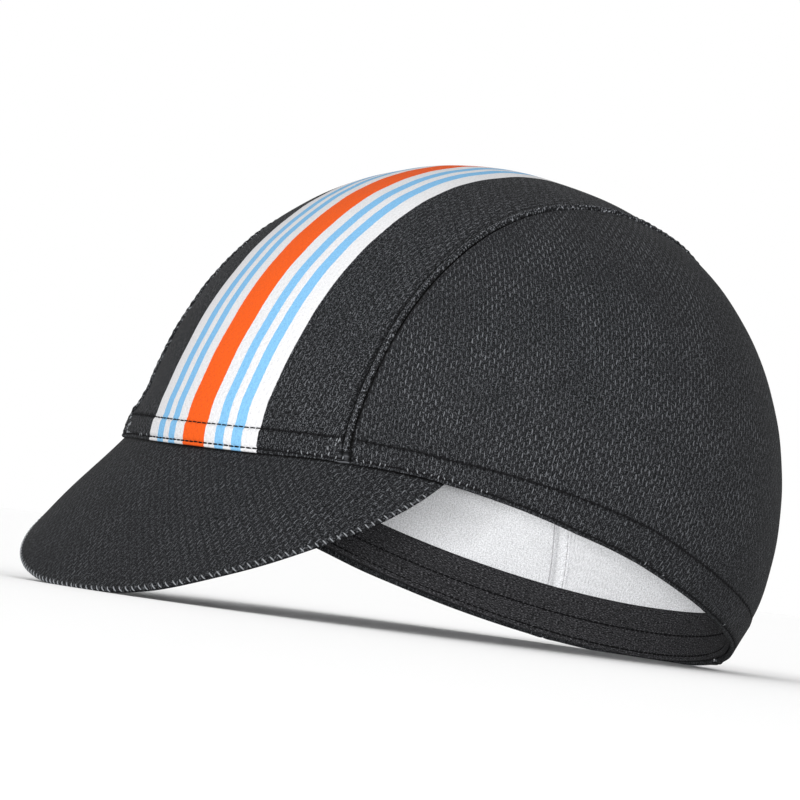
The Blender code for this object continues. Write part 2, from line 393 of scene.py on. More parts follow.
class CapSizes(bpy.types.PropertyGroup):
    """Sizes of the cap's cloth, stitches, seams and band."""

    hem_front: length_property(
        "Hem at the front", "Height of the hem's upper stitch line above the front rim",
        0.0063, 0.004, 0.0125)
    hem_side: length_property(
        "Hem at the side", "Height of the hem's upper stitch line above the rim at the side",
        0.0102, 0.004, 0.0125)
    hem_back: length_property(
        "Hem at the back", "Height of the hem's upper stitch line above the back rim",
        0.0105, 0.004, 0.0125)
    low_line: length_property(
        "Lower stitch line", "Height of the hem's lower stitch line above the rim",
        0.0012, 0.001, 0.004)
    cloth: length_property(
        "Cloth thickness", "Thickness of one layer of the crown's cloth",
        0.00045, 0.0002, 0.0008)
    stitch_pitch: length_property(
        "Stitch pitch", "Length from one hem stitch to the next",
        0.0021, 0.0015, 0.004)
    stitch_length: length_property(
        "Stitch length", "Visible length of one hem stitch",
        0.0019, 0.001, 0.0035)
    thread: length_property(
        "Thread width", "Width of the sewing thread",
        0.00055, 0.0002, 0.0008)
    seam_roll: length_property(
        "Seam roll width", "Width of the roll of cloth beside each crown seam",
        0.0017, 0.0008, 0.003)
    seam_roll_height: length_property(
        "Seam roll height", "How far the roll beside each crown seam stands out",
        0.00080, 0.0, 0.0012)
    rib_pitch: length_property(
        "Band rib pitch", "Length from one rib of the stretch band to the next",
        0.0009, 0.0005, 0.002)
    rib_height: length_property(
        "Band rib height", "How far the ribs of the stretch band stand out",
        0.00014, 0.0, 0.0004)
    stripes_half: length_property(
        "Stripes, half width", "Width of the printed stripes, from the middle to one side",
        0.0236, 0.010, 0.040)


def colour_property(name, description, default):
    """A colour that a user may change."""
    return FloatVectorProperty(
        name=name, description=description, default=default, min=0.0, max=1.0, size=3, subtype="COLOR")


class CapColours(bpy.types.PropertyGroup):
    """Colours of the cap and of the stage, as linear light."""

    knit: colour_property("Knit", "Printed ground of the crown and peak", (0.0072, 0.0075, 0.0082))
    knit_dash: colour_property(
        "Knit dashes", "Pale yarn that shows between the printed stitches", (0.235, 0.245, 0.265))
    white: colour_property("White stripes", "Unprinted white of the stripes", (0.48, 0.48, 0.49))
    blue: colour_property("Blue stripes", "Light blue of the stripes", (0.142, 0.318, 0.500))
    orange: colour_property("Orange stripe", "Orange of the middle stripe", (0.55, 0.073, 0.009))
    inside: colour_property("Inner face", "Pale unprinted face inside the crown", (0.650, 0.656, 0.672))
    band: colour_property("Stretch band", "Ribbed elastic inside the rim", (0.0085, 0.0085, 0.0093))
    dark_thread: colour_property("Dark thread", "Thread of the hem's stitch lines", (0.0045, 0.0045, 0.005))
    light_thread: colour_property(
        "Light thread", "Thread that shows at the hem and the peak's edge", (0.15, 0.157, 0.165))
    floor: colour_property("Floor", "Pale floor of the studio", (0.88, 0.88, 0.88))


def bell(distance, width):
    """A smooth bump, 1 at no distance and fading out past its width."""
    return np.exp(-(distance / width) ** 2)


def ease(value):
    """A smooth step from 0 to 1."""
    value = np.clip(value, 0.0, 1.0)
    return value * value * (3 - 2 * value)


def lengths(points):
    """Running length along a row of points."""
    steps = np.linalg.norm(np.diff(points, axis=0), axis=-1)
    return np.concatenate([[0.0], np.cumsum(steps)])


def waves(points, size, wavelength, seed):
    """Slow unevenness of the cloth by place, in metres."""
    draw = np.random.default_rng(seed)
    total = np.zeros(points.shape[:-1])
    for _ in range(WAVES):
        direction = unit(draw.normal(size=3))
        long = wavelength * draw.uniform(0.6, 1.6)
        total = total + np.sin(points @ direction * TURN / long + draw.uniform(0.0, TURN))
    return size * total / math.sqrt(WAVES)


def nearest_tree(points):
    """A search tree of points."""
    tree = KDTree(len(points))
    for number, point in enumerate(points):
        tree.insert(point, number)
    tree.balance()
    return tree


def distances(tree, points):
    """The distance of each point from the nearest in a tree."""
    flat = [tree.find(point)[2] for point in points.reshape(-1, 3)]
    return np.array(flat).reshape(points.shape[:-1])


def seam_path():
    """Points along the left seam, from the front rim over the top to the back rim."""
    share = np.linspace(0.0, 1.0, 2000) * top_share(SEAM_TOP)
    front = crown_point(share, seam_lateral(share, True), True)
    back = crown_point(share, seam_lateral(share, False), False)
    return np.concatenate([front, back[::-1]])


SEAM_TREE = nearest_tree(seam_path())


def seam_distance(points):
    """How far points of the crown are from the nearer seam. Those on the right are mirrored."""
    return distances(SEAM_TREE, points * np.where(points[..., :1] < 0, [-1.0, 1.0, 1.0], 1.0))


def hem_line(points, sizes):
    """How high above the rim the hem's upper stitch line runs, at points of the crown."""
    angle = np.arctan2(np.abs(points[..., 0]), -points[..., 1])
    heights = [sizes.hem_front, sizes.hem_front, sizes.hem_side, sizes.hem_back]
    return np.interp(angle, [0.0, HEM_RISES, math.pi / 2, math.pi], heights)


def relief(up, along, pitch, line, seam, sizes):
    """How far the cloth stands out of the plain crown: hem roll, stitch dips and seam dip."""
    roll = HEM_PROUD * (1 - ease((up - line + 0.0002) / 0.0016))
    holes = 0.70 + 0.30 * np.cos(TURN * along / pitch)
    dips = bell(up - line, 0.00050) + 0.7 * bell(up - sizes.low_line, 0.00045)
    size, place, width = SEAM_BULK
    bulk = size * bell(seam - place, width) * (1 - ease((up - line - 0.001) / 0.003))
    size, place, width = SEAM_TROUGH
    beside = size * bell(seam - place, width) * ease((up - line) / 0.002)
    return roll + bulk - STITCH_DIP * dips * holes - SEAM_DIP * bell(seam, SEAM_DIP_WIDTH) - beside


def paint_groove_shade(up, along, pitch, line, seam, sizes, rolled):
    """Painted shade in the grooves, from 0 to 1: along the stitch lines, the seams and, on the centre
    panel, behind the seam roll. It darkens the knit's colour.
    """
    holes = 0.75 + 0.25 * np.cos(TURN * along / pitch)
    stitched = (bell(up - line, 0.00048) + 0.8 * bell(up - sizes.low_line, 0.00042)) * holes
    # Painted shade in the groove behind the seam roll
    shade_behind_roll = bell(seam - sizes.seam_roll - 0.00055, 0.00040) if rolled else 0.0
    return np.clip(stitched + bell(seam, 0.00036) + shade_behind_roll, 0.0, 1.0)


class Patch:
    """One run of cloth rows, from a hem to the top of the crown."""

    def __init__(self, sizes, shape, low, high):
        self.sizes, self.shape, self.low, self.high = sizes, shape, low, high
        self.middle = (low + high) / 2
        self.dense = np.linspace(low, high, DENSE)
        self.rim = lengths(self.place(self.dense, np.zeros_like(self.dense)))
        self.total = self.rim[-1]
        self.pitch = self.total / round(self.total / sizes.stitch_pitch)

    def place(self, across, up):
        """Points of the crown's plain face, with the rim hanging slightly."""
        points = self.shape(across, up)
        angle = np.degrees(np.arctan2(np.abs(points[..., 0]), -points[..., 1]))
        hang = np.interp(angle, RIM_HANG_ANGLES, RIM_HANG) * (1 - ease(np.asarray(up) / RIM_HANG_FADE))
        return points - hang[..., None] * np.array([0.0, 0.0, 1.0])

    def columns(self, step, up=0.0):
        """Places across whose spacing is this step at a height, and closer at the seams."""
        row = lengths(self.place(self.dense, np.full_like(self.dense, up)))
        return np.interp(graded(row[-1], step), row, self.dense)

    def across_at(self, along):
        """The place across at a length along the rim."""
        return np.interp(along, self.rim, self.dense)

    def face(self, across, up, depth=0.0):
        """Points of the outer face, sunk by a depth, with their normals and the painted shade of their
        grooves.
        """
        up = np.broadcast_to(np.asarray(up, float), across.shape)
        base = self.place(across, up)
        normals = surface_normals(self.place, across, up, self.low, self.high)
        along = np.interp(across, self.dense, self.rim)
        line, seam = hem_line(base, self.sizes), seam_distance(base)
        offset = relief(up, along, self.pitch, line, seam, self.sizes)
        offset = offset + waves(base, WAVE_SIZE, WAVE_LENGTH, WAVE_SEED)
        offset = offset + waves(base, FINE_WAVE_SIZE, FINE_WAVE_LENGTH, FINE_WAVE_SEED)
        groove_shade = np.zeros(len(base))
        if depth == 0.0:
            groove_shade = paint_groove_shade(up, along, self.pitch, line, seam, self.sizes, self.low < 0)
        return base + normals * (offset - depth)[..., None], normals, groove_shade


def graded(total, step):
    """Places along a length: close together near its two ends, and a step apart between."""
    if total < 4 * SEAM_MARGIN:
        return np.linspace(0.0, total, 13)
    near = np.arange(0.0, SEAM_MARGIN, SEAM_STEP)
    count = max(2, round((total - 2 * SEAM_MARGIN) / step))
    middle = np.linspace(SEAM_MARGIN, total - SEAM_MARGIN, count + 1)
    return np.concatenate([near, middle, (total - near)[::-1]])


def strip_faces(lower, lower_at, upper, upper_at):
    """Faces between two rows of vertices, which may hold different numbers of them."""
    if len(lower) == len(upper):
        return [(lower[i], lower[i + 1], upper[i + 1], upper[i]) for i in range(len(lower) - 1)]
    faces = []
    i = j = 0
    while i < len(lower) - 1 or j < len(upper) - 1:
        last = j == len(upper) - 1
        if last or (i < len(lower) - 1 and lower_at[i + 1] <= upper_at[j + 1]):
            faces.append((lower[i], lower[i + 1], upper[j]))
            i += 1
        else:
            faces.append((lower[i], upper[j + 1], upper[j]))
            j += 1
    return faces


def hem_profile():
    """Rises and depths from the turned-up edge down inside, round the fold and up outside."""
    radius = HEM_FOLD / 2
    inner = [(up, HEM_FOLD) for up in np.linspace(HEM_TURNED_UP, radius, 14)]
    turns = np.linspace(0.0, math.pi, 9)[1:-1]
    fold = [(radius - radius * math.sin(turn), radius + radius * math.cos(turn)) for turn in turns]
    outer = [(up, 0.0) for up in np.linspace(radius, HEM_ZONE, 36)]
    return inner + fold + outer


def patch_rows(patch, narrowing):
    """(across, up, depth) of each row of a patch, from its turned-up edge to the top."""
    fine, coarse = patch.columns(FINE_STEP), patch.columns(COARSE_STEP)
    rows = [(fine, up, depth) for up, depth in hem_profile()]
    turns = np.linspace(0.0, 1.0, CROWN_ROWS + 1)[1:]
    for turn in turns[:-1] if narrowing else turns:
        up = HEM_ZONE + turn
        rows.append((patch.columns(COARSE_STEP, up) if narrowing else coarse, up, 0.0))
    return rows


def side_cloth_place(points):
    """Cloth coordinates of a side panel, in metres: spread flat from its middle, with its grain leaning."""
    away = np.abs(points) * np.array([1.0, 0.0, 0.0]) + points * np.array([0.0, 1.0, 1.0])
    away = away - np.array(SIDE_MIDDLE)
    chord = np.linalg.norm(away, axis=-1)
    arc = 2 * SIDE_ROUNDNESS * np.arcsin(np.clip(chord / (2 * SIDE_ROUNDNESS), 0.0, 1.0))
    flat = unit(away[..., 1:]) * arc[..., None]
    level, lean = math.cos(GRAIN_LEAN), math.sin(GRAIN_LEAN)
    return flat @ np.array([[level, -lean], [lean, level]])


def sideways_lengths():
    """Lengths over the top of the crown from its middle, by distance sideways."""
    reach = np.linspace(0.0, SEAM_FRONT, 200)
    return reach, lengths(crown_point(top_share(reach), reach, True))


def lay_cloth(patches):
    """Points, cloth coordinates, faces, painted groove shade and turned-in places of a panel of one or two
    patches.
    """
    narrowing = len(patches) == 1
    listed = [(patches[0], row) for row in patch_rows(patches[0], narrowing)]
    for patch in patches[1:]:
        listed += [(patch, row) for row in patch_rows(patch, narrowing)[-2::-1]]
    points, coordinates, faces, looks = [], [], [], []
    reach, over = sideways_lengths()
    columns = np.linspace(patches[0].low, patches[0].high, CLOTH_COLUMNS)
    start, height, last, before = 0, np.zeros(CLOTH_COLUMNS), None, None
    for patch, (across, up, depth) in listed:
        laid, _, groove_shade = patch.face(across, up, depth)
        looks.append(np.stack([groove_shade, np.full_like(groove_shade, depth > HEM_FOLD / 2)], -1))
        row = patch.place(columns, np.full_like(columns, up))
        row = row + np.array([0.0, 0.0, 1.0]) * depth
        if last is not None:
            height = height + np.linalg.norm(row - last, axis=-1)
        last = row
        sideways = np.sign(laid[:, 0]) * np.interp(np.abs(laid[:, 0]), reach, over)
        numbers = range(start, start + len(laid))
        if before is not None:
            faces += strip_faces(*before, numbers, across)
        before = (numbers, across)
        start += len(laid)
        points.append(laid)
        coordinates.append(np.stack([sideways, np.interp(across, columns, height)], -1))
    if narrowing:
        coordinates = [side_cloth_place(row) for row in points]
        top = crown_point(top_share(SEAM_TOP), math.copysign(SEAM_TOP, points[0][0, 0]), True)
        points.append(top[None, :])
        coordinates.append(side_cloth_place(points[-1]))
        looks.append(np.array([[1.0, 0.0]]))
        numbers = before[0]
        faces += [(numbers[i], numbers[i + 1], start) for i in range(len(numbers) - 1)]
    return np.concatenate(points), np.concatenate(coordinates) * MILLIMETRES, faces, np.concatenate(looks)


def to_rest(points):
    """Points of the level cap where they rest, with none below the floor."""
    rest = points @ np.array(RESTING.to_3x3()).T + np.array(RESTING.translation)
    rest[..., 2] = np.maximum(rest[..., 2], 0.0)
    return rest


def add_object(name, data):
    """A new object, linked to the scene."""
    made = bpy.data.objects.new(name, data)
    bpy.context.scene.collection.objects.link(made)
    return made


def add_mesh(name, points, faces, materials, coordinates=None):
    """A smooth mesh object, with its cloth coordinates as a UV map."""
    mesh = bpy.data.meshes.new(name)
    mesh.from_pydata(points.tolist(), [], faces)
    if coordinates is not None:
        corners = np.zeros(len(mesh.loops), np.int32)
        mesh.loops.foreach_get("vertex_index", corners)
        layer = mesh.uv_layers.new(name=CLOTH_MAP)
        layer.uv.foreach_set("vector", coordinates[corners].astype(np.float32).ravel())
    mesh.shade_smooth()
    for material in materials:
        mesh.materials.append(material)
    return add_object(name, mesh)


def ring_faces(rings, sides, first=0, closed=False):
    """Faces between rings of points, with a face over each end unless the last ring meets the first."""
    faces = []
    for ring in range(rings if closed else rings - 1):
        a, b = first + ring * sides, first + (ring + 1) % rings * sides
        for number in range(sides):
            other = (number + 1) % sides
            faces.append((a + number, a + other, b + other, b + number))
    if not closed:
        last = first + (rings - 1) * sides
        faces.append(tuple(range(first, first + sides))[::-1])
        faces.append(tuple(range(last, last + sides)))
    return faces


def turn_out(piece, weld=False):
    """Turns a closed form's faces out. It can weld doubled points and drop what has no area first."""
    work = bmesh.new()
    work.from_mesh(piece.data)
    if weld:
        bmesh.ops.remove_doubles(work, verts=work.verts, dist=WELD_WITHIN)
        bmesh.ops.dissolve_degenerate(work, edges=work.edges, dist=DROP_WITHIN)
    bmesh.ops.recalc_face_normals(work, faces=work.faces)
    work.to_mesh(piece.data)
    work.free()
    piece.data.shade_smooth()


def thicken(piece, thickness):
    """Turns a sheet into cloth of a thickness, with its inner face in the second material."""
    shell = piece.modifiers.new("cloth thickness", "SOLIDIFY")
    shell.thickness = thickness
    shell.offset = -1.0
    shell.use_quality_normals = True
    shell.material_offset = 1
    shell.material_offset_rim = 0
    evaluated = piece.evaluated_get(bpy.context.evaluated_depsgraph_get())
    mesh = bpy.data.meshes.new_from_object(evaluated)
    old = piece.data
    piece.modifiers.clear()
    piece.data = mesh
    bpy.data.meshes.remove(old)
    mesh.name = piece.name
    places = np.zeros(len(mesh.vertices) * 3, np.float32)
    mesh.vertices.foreach_get("co", places)
    places = places.reshape(-1, 3)
    places[:, 2] = np.maximum(places[:, 2], 0.0)
    mesh.vertices.foreach_set("co", places.ravel())
    mesh.update()


def finish_piece(piece, slot, *nodes):
    """Puts a piece on the cap's body and hides the solids that it stands for. The slot is not used."""
    if nodes:
        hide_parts(*nodes)
    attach(piece, "root")


def threads(name, starts, middles, ends, normals, width, material):
    """Short flattened lengths of thread through three points each, as one piece."""
    steps = np.array([-1.0, -0.82, -0.4, 0.0, 0.4, 0.82, 1.0])
    taper = np.array([0.30, 0.78, 1.0, 1.0, 1.0, 0.78, 0.30])
    turns = np.arange(THREAD_SIDES) * TURN / THREAD_SIDES
    weights = np.stack([(steps ** 2 - steps) / 2, 1 - steps ** 2, (steps ** 2 + steps) / 2], -1)
    path = np.einsum("sk,nkc->nsc", weights, np.stack([starts, middles, ends], 1))
    tangent = unit(np.gradient(path, axis=1))
    aside = unit(np.cross(tangent, normals[:, None, :]))
    upward = np.cross(aside, tangent)
    half = width / 2 * taper[None, :, None, None]
    ring = aside[:, :, None, :] * np.cos(turns)[None, None, :, None]
    ring = ring + upward[:, :, None, :] * (THREAD_FLATNESS * np.sin(turns))[None, None, :, None]
    points = (path[:, :, None, :] + half * ring).reshape(-1, 3)
    faces = []
    each = len(steps) * THREAD_SIDES
    for first in range(0, len(points), each):
        faces += ring_faces(len(steps), THREAD_SIDES, first)
    piece = add_mesh(name, to_rest(points), faces, [material])
    turn_out(piece)
    finish_piece(piece, "thread")
    return piece


class Nodes:
    """A new material, with short calls for the nodes that the cap's finishes use."""

    def __init__(self, name, colour, roughness, specular=0.2, sheen=0.0):
        self.material = bpy.data.materials.new(name)
        self.material.use_nodes = True
        self.tree = self.material.node_tree
        self.shader = self.tree.nodes["Principled BSDF"]
        self.shader.inputs["Base Color"].default_value = (*colour, 1.0)
        self.shader.inputs["Roughness"].default_value = roughness
        self.shader.inputs["Specular IOR Level"].default_value = specular
        self.shader.inputs["Sheen Weight"].default_value = sheen
        self.shader.inputs["Sheen Roughness"].default_value = 0.45
        self.material.diffuse_color = (*colour, 1.0)

    def add(self, kind, inputs=(), output=0, **settings):
        """A node with these settings and inputs. Gives its output."""
        node = self.tree.nodes.new("ShaderNode" + kind)
        for key, value in settings.items():
            setattr(node, key, value)
        for key, value in dict(inputs).items():
            if isinstance(value, bpy.types.NodeSocket):
                self.tree.links.new(value, node.inputs[key])
            elif value is not None:
                node.inputs[key].default_value = value
        return node.outputs[output]

    def math(self, operation, *values):
        """A sum of one to three values."""
        return self.add("Math", enumerate(values), operation=operation)

    def times(self, one, other):
        """One value times another."""
        return self.math("MULTIPLY", one, other)

    def plus(self, one, other):
        """One value added to another."""
        return self.math("ADD", one, other)

    def shaded(self, colour, factor):
        """A colour made darker or lighter by a factor."""
        colour = tuple(colour) if is_plain(colour) else colour
        return self.add("VectorMath", {0: colour, 3: factor}, operation="SCALE")

    def step(self, value, low, high):
        """A smooth step of a value from 0 at low to 1 at high."""
        inputs = {"Value": value, "From Min": low, "From Max": high}
        return self.add("MapRange", inputs, interpolation_type="SMOOTHSTEP")

    def scaled(self, value, low, high):
        """A value from 0 to 1 stretched from low to high."""
        return self.add("MapRange", {"Value": value, "To Min": low, "To Max": high})

    def mix(self, share, one, other):
        """A blend of two colours."""
        one, other = [(*colour, 1.0) if is_plain(colour) else colour for colour in (one, other)]
        return self.add("Mix", {0: share, 6: one, 7: other}, output=2, data_type="RGBA")

    def cloth(self):
        """The cloth coordinates in millimetres: both as one, across and along."""
        place = self.add("UVMap", uv_map=CLOTH_MAP)
        parts = self.tree.nodes.new("ShaderNodeSeparateXYZ")
        self.tree.links.new(place, parts.inputs[0])
        return place, parts.outputs[0], parts.outputs[1]

    def kept(self, name):
        """A value from 0 to 1 that the mesh keeps at each point."""
        return self.add("Attribute", output=2, attribute_name=name)

    def noise(self, place, scale, detail=2.0, dimensions="2D"):
        """Soft noise, from 0 to 1."""
        inputs = {"Vector": place, "Scale": scale, "Detail": detail}
        return self.add("TexNoise", inputs, noise_dimensions=dimensions)

    def stretched(self, place, across, along):
        """Cloth coordinates scaled each way."""
        return self.add("Mapping", {"Vector": place, "Scale": (across, along, 1.0)})

    def finish(self, colour, height, depth, roughness=None):
        """Links the colour, a bump of a depth in metres, and the roughness."""
        self.tree.links.new(colour, self.shader.inputs["Base Color"])
        bump = self.add("Bump", {"Strength": 1.0, "Distance": depth, "Height": height})
        self.tree.links.new(bump, self.shader.inputs["Normal"])
        if roughness is not None:
            self.tree.links.new(roughness, self.shader.inputs["Roughness"])
        return self.material


def is_plain(value):
    """Whether a value is a plain one, and not a node's output."""
    return not isinstance(value, bpy.types.NodeSocket)


def dashes(nodes, across, along, pitch, repeat, width, length, shift):
    """Staggered short dashes of a knit, as a mask from 0 to 1, and a random value for each."""
    column_place = nodes.plus(nodes.math("DIVIDE", across, pitch), shift)
    column = nodes.math("FLOOR", column_place)
    stagger = nodes.math("FRACT", nodes.times(column, 0.5))
    line = nodes.add("TexWhiteNoise", {"W": column}, noise_dimensions="1D")
    row_place = nodes.plus(nodes.math("DIVIDE", along, repeat), stagger)
    row_place = nodes.plus(row_place, nodes.times(line, 0.22))
    row = nodes.math("FLOOR", row_place)
    sideways = nodes.math("ABSOLUTE", nodes.math("SUBTRACT", nodes.math("FRACT", column_place), 0.5))
    lengthways = nodes.math("ABSOLUTE", nodes.math("SUBTRACT", nodes.math("FRACT", row_place), 0.5))
    narrow = nodes.step(sideways, width / 2 / pitch + 0.06, width / 2 / pitch - 0.06)
    short = nodes.step(lengthways, length / 2 / repeat + 0.05, length / 2 / repeat - 0.05)
    cell = nodes.add("CombineXYZ", {0: column, 1: row})
    random = nodes.add("TexWhiteNoise", {"Vector": cell}, noise_dimensions="2D")
    return nodes.times(narrow, short), random


def knit_material(name, colours, strength, speckle, shade_grooves=False, stripes_half=None, hem_shadow=False):
    """Charcoal printed knit with pale dashes and specks, and stripes down its middle if wanted. It can
    paint shade into the grooves, and a painted shadow on the peak just under the hem.
    """
    nodes = Nodes(name, colours.knit, 0.82, specular=0.04, sheen=0.008)
    place, across, along = nodes.cloth()
    bend = nodes.scaled(nodes.noise(place, 0.35), -0.35, 0.35)
    bent = nodes.plus(across, bend)
    dash, random = dashes(nodes, bent, along, 1.36, 3.1, 0.18, 1.55, 0.0)
    pore, _ = dashes(nodes, bent, along, 1.36, 3.1, 0.50, 1.1, 0.5)
    grain = nodes.step(nodes.noise(place, 2.3, 2.0), 0.25, 0.75)
    yarn = nodes.step(nodes.noise(nodes.stretched(place, 3.0, 1.0), 1.0, 2.0), 0.25, 0.75)
    patches = nodes.noise(place, 0.05, 2.0)
    clear = nodes.scaled(nodes.step(patches, 0.3, 0.7), 0.45, 1.0)
    clear = nodes.times(clear, nodes.scaled(random, 0.35, 1.0))
    dash_light = nodes.times(nodes.times(dash, clear), strength)
    twill = nodes.add("Mapping", {"Vector": place, "Rotation": (0.0, 0.0, TWILL), "Scale": (2.6, 1.2, 1.0)})
    specks = nodes.step(nodes.noise(twill, 1.0, 2.0), 0.60, 0.80)
    fine = nodes.step(nodes.noise(place, 3.1, 1.0), 0.60, 0.82)
    specks = nodes.times(nodes.math("MAXIMUM", specks, fine), speckle)
    dash_light = nodes.math("MAXIMUM", dash_light, specks)
    shade = nodes.times(nodes.scaled(grain, 0.35, 1.65), nodes.scaled(yarn, 0.6, 1.4))
    shade = nodes.times(shade, nodes.scaled(pore, 1.0, 0.7))
    # Painted shade: the knit's colour goes almost black in the grooves, and its pale dashes vanish there
    if shade_grooves:
        shade = nodes.times(shade, nodes.scaled(nodes.kept(GROOVE_SHADE), 1.0, 0.02))
        dash_light = nodes.times(dash_light, nodes.scaled(nodes.kept(GROOVE_SHADE), 1.0, 0.0))
    # Painted shadow: the peak's cloth darkens to almost black just under the hem's edge, where the hem
    # stands over it
    if hem_shadow:
        out_of_hem_shadow = nodes.step(along, 0.5, 1.9)
        shade = nodes.times(shade, nodes.scaled(out_of_hem_shadow, 0.05, 1.0))
        dash_light = nodes.times(dash_light, out_of_hem_shadow)
    ground = nodes.shaded(colours.knit, shade)
    colour = nodes.mix(dash_light, ground, colours.knit_dash)
    height = nodes.plus(nodes.times(dash, 0.55), nodes.times(grain, 0.6))
    height = nodes.math("SUBTRACT", height, nodes.times(pore, 0.5))
    if stripes_half is not None:
        colour = striped(nodes, colours, colour, (grain, yarn), stripes_half * MILLIMETRES)
    rough = nodes.scaled(grain, 0.72, 0.92)
    return nodes.finish(colour, height, 0.00011, rough)


def striped(nodes, colours, ground, looks, half):
    """The printed stripes over a knit's own colour."""
    grain, yarn = looks
    place, across, along = nodes.cloth()
    shown = nodes.step(nodes.kept(TURNED_IN), 0.6, 0.4)
    edge = nodes.scaled(nodes.noise(place, 0.9), -0.12, 0.12)
    reach = nodes.math("DIVIDE", nodes.math("ABSOLUTE", nodes.plus(across, edge)), half * STRIPE_ROOM)
    spread = {"Value": along, "From Min": 13.0, "From Max": 30.0, "To Min": 0.945, "To Max": 1.0}
    reach = nodes.times(reach, nodes.add("MapRange", spread))
    ramp = nodes.tree.nodes.new("ShaderNodeValToRGB")
    ramp.color_ramp.interpolation = "CONSTANT"
    nodes.tree.links.new(reach, ramp.inputs[0])
    points = ramp.color_ramp.elements
    while len(points) < len(STRIPES):
        points.new(0.5)
    for point, (share, tint) in zip(points, STRIPES):
        point.position = share / STRIPE_ROOM
        point.color = (*getattr(colours, tint), 1.0)
    weave = nodes.times(nodes.scaled(grain, 0.88, 1.05), nodes.scaled(yarn, 0.94, 1.03))
    # Painted shade: the stripes darken in the grooves too
    weave = nodes.times(weave, nodes.scaled(nodes.kept(GROOVE_SHADE), 1.0, 0.72))
    print_colour = nodes.shaded(ramp.outputs[0], weave)
    inside = nodes.step(reach, 1.0 / STRIPE_ROOM + 0.003, 1.0 / STRIPE_ROOM - 0.003)
    return nodes.mix(nodes.times(inside, shown), ground, print_colour)


def inside_material(colours):
    """The pale unprinted face of the knit."""
    nodes = Nodes("crown_inner_face", colours.inside, 0.88, specular=0.15, sheen=0.02)
    place, across, along = nodes.cloth()
    grain = nodes.noise(place, 2.4, 3.0)
    dash, random = dashes(nodes, across, along, 1.27, 3.0, 0.5, 1.6, 0.0)
    mottle = nodes.noise(place, 0.16, 3.0)
    weave = nodes.scaled(nodes.step(grain, 0.3, 0.7), 0.76, 1.16)
    shade = nodes.times(weave, nodes.scaled(mottle, 0.93, 1.05))
    shade = nodes.times(shade, nodes.scaled(nodes.times(dash, random), 1.0, 0.90))
    colour = nodes.shaded(colours.inside, shade)
    height = nodes.plus(grain, nodes.times(dash, 0.4))
    return nodes.finish(colour, height, 0.00014)


def band_material(colours):
    """Fine ribbed black elastic, with painted light and shade across its ribs."""
    nodes = Nodes("stretch_band_knit", colours.band, 0.80, specular=0.04, sheen=0.01)
    place, across, along = nodes.cloth()
    streaks = nodes.noise(nodes.stretched(place, 0.22, 3.2), 1.0, 3.0)
    grain = nodes.noise(place, 2.6, 2.0)
    rib = nodes.math("SINE", nodes.times(along, TURN / 0.9))
    flecks = nodes.math("POWER", nodes.noise(nodes.stretched(place, 1.3, 4.5), 1.0, 1.0), 5.0)
    shade = nodes.scaled(nodes.step(streaks, 0.3, 0.7), 0.25, 1.9)
    shade = nodes.times(shade, nodes.scaled(grain, 0.5, 1.5))
    # Painted light and shade: the colour goes lighter and darker with each rib
    shade = nodes.times(shade, nodes.plus(nodes.times(rib, 0.35), 1.0))
    ground = nodes.shaded(colours.band, shade)
    colour = nodes.mix(nodes.times(flecks, 2.6), ground, BAND_FLECK)
    height = nodes.plus(nodes.times(rib, 0.25), nodes.plus(streaks, grain))
    return nodes.finish(colour, height, 0.00009)


def thread_material(name, colour):
    """Spun thread, with short fibres and a slight gloss."""
    nodes = Nodes(name, colour, 0.7, specular=0.04, sheen=0.0)
    place = nodes.add("TexCoord", output=3)
    fibre = nodes.noise(place, 5200.0, 2.0, "3D")
    shade = nodes.scaled(fibre, 0.45, 1.55)
    colour = nodes.shaded(colour, shade)
    return nodes.finish(colour, fibre, 0.00005)


def floor_material(colours):
    """Plain pale studio paper with the faintest grain."""
    nodes = Nodes("studio_floor", colours.floor, 0.9, specular=0.1)
    place = nodes.add("TexCoord", output=3)
    grain = nodes.noise(place, 900.0, 2.0, "3D")
    colour = nodes.shaded(colours.floor, nodes.scaled(grain, 0.985, 1.015))
    return nodes.finish(colour, grain, 0.00002)


def crown_patches(sizes):
    """The patches of cloth that make up each panel."""
    return {
        "centre": [
            Patch(sizes, lambda across, up: centre_place(across, up, True), -1.0, 1.0),
            Patch(sizes, lambda across, up: centre_place(across, up, False), -1.0, 1.0),
        ],
        "left": [Patch(sizes, lambda along, up: side_place(along, up, 1), 0.0, 2.0)],
        "right": [Patch(sizes, lambda along, up: side_place(along, up, -1), 0.0, 2.0)],
    }


def all_patches(sizes):
    """The patches of every panel."""
    return [patch for group in crown_patches(sizes).values() for patch in group]


def face_out(points, faces):
    """Faces turned so that the cloth's printed face looks out."""
    a, b, c = (points[number] for number in faces[len(faces) * 2 // 3][:3])
    looks = np.cross(b - a, c - a)
    outward = (a + b + c) / 3 - np.array([0.0, 0.0, CROWN_HEIGHT * INSIDE_SHARE])
    return faces if looks @ outward > 0 else [face[::-1] for face in faces]


def add_panel(name, node, patches, materials, sizes):
    """One cloth panel of the crown, with its hem turned up inside."""
    points, coordinates, faces, looks = lay_cloth(patches)
    faces = face_out(points, faces)
    piece = add_mesh(name, to_rest(points), faces, materials, coordinates)
    for key, values in zip((GROOVE_SHADE, TURNED_IN), looks.T):
        layer = piece.data.attributes.new(key, "FLOAT", "POINT")
        layer.data.foreach_set("value", values.astype(np.float32))
    thicken(piece, sizes.cloth)
    finish_piece(piece, "crown_cloth", node)
    return piece


